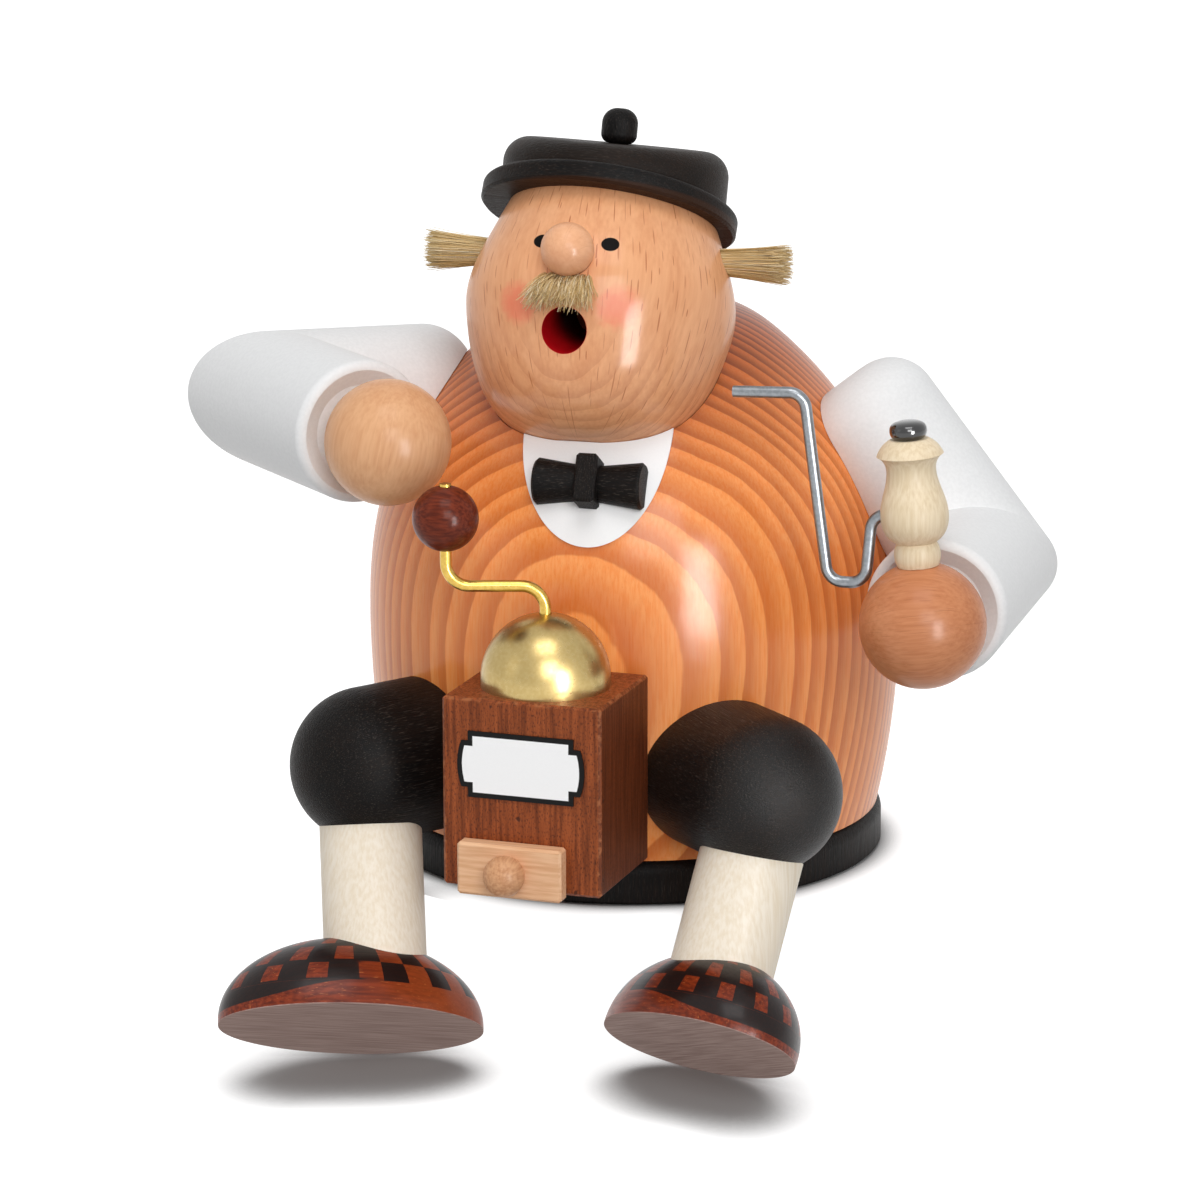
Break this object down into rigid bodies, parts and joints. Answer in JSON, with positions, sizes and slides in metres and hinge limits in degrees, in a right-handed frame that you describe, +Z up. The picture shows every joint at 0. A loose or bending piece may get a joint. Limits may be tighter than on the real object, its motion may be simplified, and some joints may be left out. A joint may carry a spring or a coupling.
{
  "type": "german incense smoker",
  "caption": "Seated turned-wood figure with pipe and box coffee grinder on a round base; it lifts off over the burner dish, and smoke rises through its hollow body and out of its open mouth.",
  "frame": {"origin": "centre of the base disc's underside, in the plane of the shelf it sits on", "axes": "+Z up, the figure faces -Y, +X is the figure's own left"},
  "size_m": [0.1653, 0.1425, 0.1778],
  "materials": {
    "black_wood": "black stain, satin",
    "orange_pine": "orange stain over strong growth rings, satin lacquer",
    "beech": "clear satin lacquer over beech flecks",
    "bristle": "straw-coloured natural fibre",
    "white_card": "smooth white",
    "white_paint": "satin white paint",
    "dowel_wood": "raw beech, hidden",
    "maple": "bare pale maple",
    "black_bead": "gloss black paint",
    "zinc_wire": "dull zinc",
    "tinplate": "pressed tinplate",
    "brown_wood": "dark brown stain, edges worn pale",
    "gold_lacquer": "satin gold lacquer",
    "cherry": "clear satin lacquer",
    "brass_wire": "polished",
    "red_brown_bead": "dark red-brown stain, satin",
    "mahogany": "mahogany stain with a burnt check pattern"
  },
  "bodies": {
    "base": {"base_plate": "black_wood", "incense_plate": "tinplate", "plate_nail": "tinplate"},
    "figure": {"hat_brim": "black_wood", "hat_crown": "black_wood", "hat_knob": "black_wood", "bow_tie": "black_wood", "bow_tie_knot": "black_wood", "right_thigh": "black_wood", "left_thigh": "black_wood", "body": "orange_pine", "head": "beech", "nose": "beech", "right_hand": "beech", "left_hand": "beech", "right_hair_tuft": "bristle", "left_hair_tuft": "bristle", "moustache": "bristle", "shirt_front": "white_card", "grinder_label": "white_card", "right_upper_arm": "white_paint", "right_forearm": "white_paint", "left_upper_arm": "white_paint", "left_forearm": "white_paint", "right_shoulder_dowel": "dowel_wood", "left_shoulder_dowel": "dowel_wood", "right_wrist_dowel": "dowel_wood", "left_wrist_dowel": "dowel_wood", "grinder_dowel": "dowel_wood", "right_hip_dowel": "dowel_wood", "left_hip_dowel": "dowel_wood", "pipe_bowl": "maple", "right_shin": "maple", "left_shin": "maple", "pipe_bead": "black_bead", "pipe_stem": "zinc_wire", "grinder_box": "brown_wood", "grinder_dome": "gold_lacquer", "drawer_front": "cherry", "drawer_knob": "cherry", "right_shoe": "mahogany", "left_shoe": "mahogany"},
    "crank": {"grinder_crank": "brass_wire", "crank_knob": "red_brown_bead"}
  },
  "joints": [
    {"name": "body_lift", "type": "slide", "parent": "base", "child": "figure", "axis": [0, 0, 1], "range_m": [0, 0.08]},
    {"name": "crank_turn", "type": "hinge", "parent": "figure", "child": "crank", "pos_m": [0.0003, -0.065, 0.0607], "axis": [0, 0, 1], "range_deg": [0, 180]}
  ]
}
